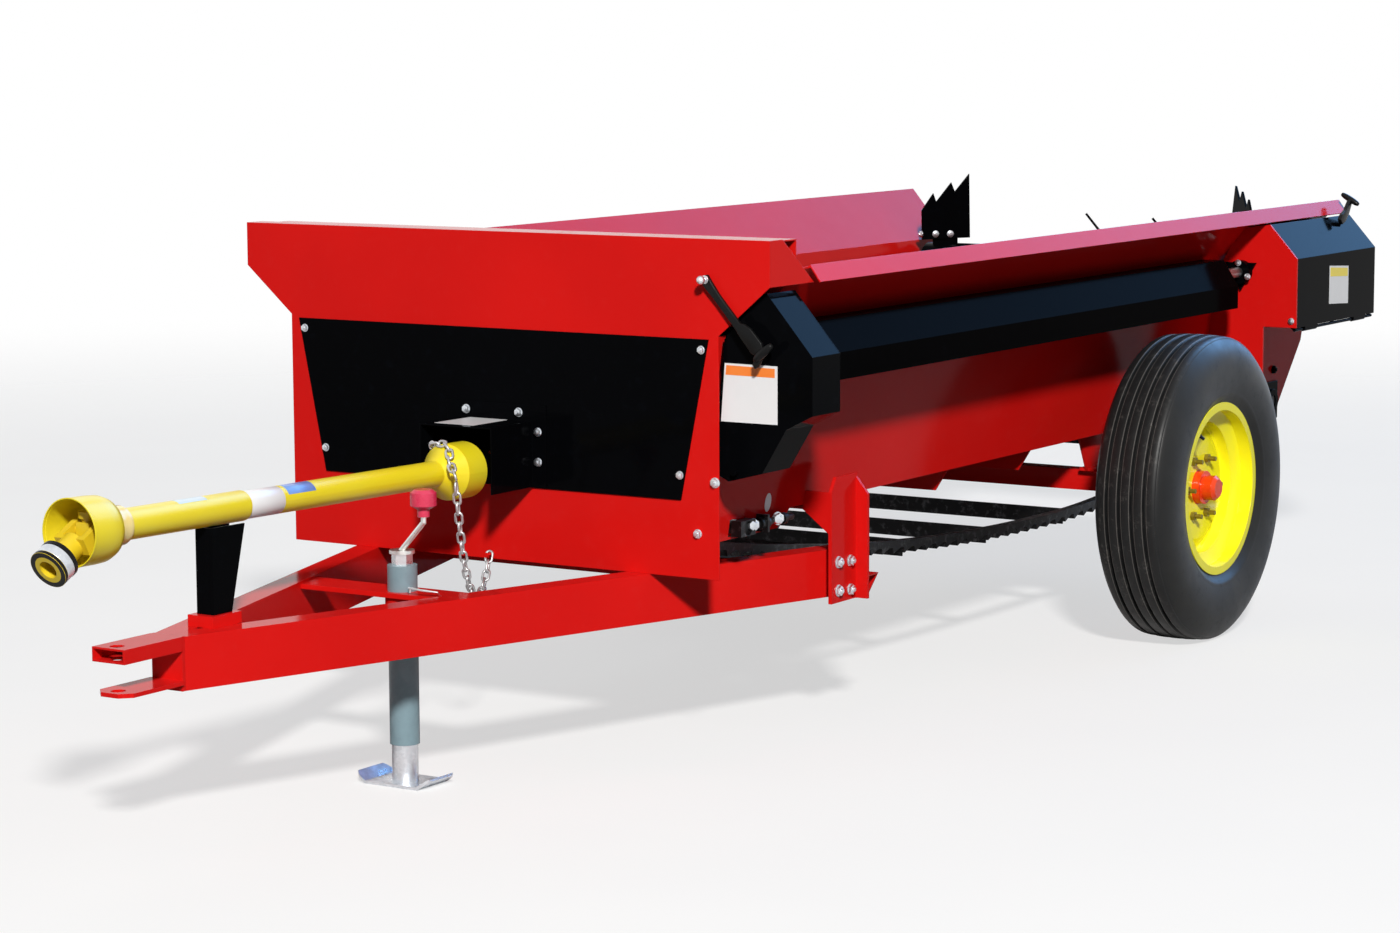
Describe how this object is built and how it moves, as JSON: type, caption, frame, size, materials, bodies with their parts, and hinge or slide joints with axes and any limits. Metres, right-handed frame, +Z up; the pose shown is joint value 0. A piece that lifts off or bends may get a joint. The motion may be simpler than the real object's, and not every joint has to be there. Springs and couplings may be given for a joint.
{
  "type": "manure spreader",
  "caption": "Towed single-axle manure spreader: tapered steel box, apron chain floor, rear paddle beater, A-frame drawbar with jack and PTO driveline.",
  "frame": {"origin": "on the ground under the middle of the machine's overall length", "axes": "+X towards the drawbar, +Y to the machine's left, +Z up"},
  "size_m": [4.3772, 1.596, 1.064],
  "materials": {
    "red_paint": "gloss enamel",
    "black_paint": "gloss enamel",
    "chain_steel": "dark oiled steel",
    "zinc": "zinc plated",
    "wheel_yellow": "gloss enamel",
    "hub_red": "gloss enamel",
    "tyre": "new rubber",
    "jack_grey": "grey enamel",
    "shield_yellow": "moulded",
    "yoke_yellow": "enamel",
    "rubber_black": "matt"
  },
  "bodies": {
    "chassis": {"apron_chains": "chain_steel", "apron_front_shaft": "chain_steel", "apron_rear_shaft": "chain_steel", "apron_slats": "chain_steel", "axle": "red_paint", "axle_brackets": "red_paint", "cross_members": "red_paint", "drawbar_beam_left": "red_paint", "drawbar_beam_right": "red_paint", "drive_chains": "chain_steel", "driveline_stand": "black_paint", "flange_bearings": "black_paint", "floor": "black_paint", "frame_posts": "red_paint", "front_cover": "black_paint", "front_wall": "red_paint", "guard_back": "black_paint", "guard_pan": "black_paint", "hitch_clevis": "red_paint", "inner_front_wall": "red_paint", "jack_bracket": "red_paint", "jack_tube": "jack_grey", "pto_gearbox": "black_paint", "pto_hood": "black_paint", "rear_bulkhead": "red_paint", "rear_gearbox": "black_paint", "restraint_chain": "zinc", "shaft_shield": "black_paint", "side_shaft": "chain_steel", "side_wall_left": "red_paint", "side_wall_right": "red_paint", "take_ups": "zinc"},
    "wheel_left": {"tyre_left": "tyre", "rim_left": "wheel_yellow", "hub_left": "hub_red"},
    "wheel_right": {"tyre_right": "tyre", "rim_right": "wheel_yellow", "hub_right": "hub_red"},
    "beater": {"beater_drum": "black_paint", "beater_paddles": "black_paint"},
    "front_guard": {"front_guard": "black_paint", "front_latch": "rubber_black"},
    "rear_guard": {"rear_guard": "black_paint", "rear_latch": "rubber_black"},
    "jack_leg": {"jack_leg": "zinc"},
    "jack_crank": {"jack_crank": "jack_grey"},
    "driveline_rear": {"driveline_rear_shaft": "yoke_yellow", "driveline_rear_shield": "shield_yellow"},
    "driveline_front": {"driveline_front_shaft": "yoke_yellow", "driveline_front_shield": "shield_yellow", "driveline_clamp_ring": "shield_yellow"},
    "tractor_yoke": {"tractor_yoke": "yoke_yellow"}
  },
  "joints": [
    {"name": "wheel_left_spin", "type": "hinge", "parent": "chassis", "child": "wheel_left", "pos_m": [-1.04259, 0.698, 0.3675], "axis": [0, 1, 0], "continuous": true},
    {"name": "wheel_right_spin", "type": "hinge", "parent": "chassis", "child": "wheel_right", "pos_m": [-1.04259, -0.698, 0.3675], "axis": [0, 1, 0], "continuous": true},
    {"name": "beater_spin", "type": "hinge", "parent": "chassis", "child": "beater", "pos_m": [-1.92259, 0, 0.812], "axis": [0, 1, 0], "continuous": true},
    {"name": "front_guard_lid", "type": "hinge", "parent": "chassis", "child": "front_guard", "pos_m": [0.76741, 0.566, 0.604], "axis": [-1, 0, 0], "range_deg": [0, 80]},
    {"name": "rear_guard_lid", "type": "hinge", "parent": "chassis", "child": "rear_guard", "pos_m": [-1.82259, 0.739, 0.705], "axis": [-1, 0, 0], "range_deg": [0, 110]},
    {"name": "jack_leg_slide", "type": "slide", "parent": "chassis", "child": "jack_leg", "axis": [0, 0, 1], "range_m": [-0.15, 0.05]},
    {"name": "jack_crank_turn", "type": "hinge", "parent": "chassis", "child": "jack_crank", "pos_m": [1.22941, 0.05, 0.48], "axis": [0, 0, 1], "range_deg": [-75, 75]},
    {"name": "driveline_lift", "type": "hinge", "parent": "chassis", "child": "driveline_rear", "pos_m": [0.94741, 0, 0.588], "axis": [0, -1, 0], "range_deg": [0, 18]},
    {"name": "driveline_telescope", "type": "slide", "parent": "driveline_rear", "child": "driveline_front", "axis": [0.9999, 0, 0.0162], "range_m": [-0.09, 0.25]},
    {"name": "tractor_yoke_tilt", "type": "hinge", "parent": "driveline_front", "child": "tractor_yoke", "pos_m": [2.06726, 0, 0.60618], "axis": [0, -1, 0], "range_deg": [0, 50]}
  ]
}
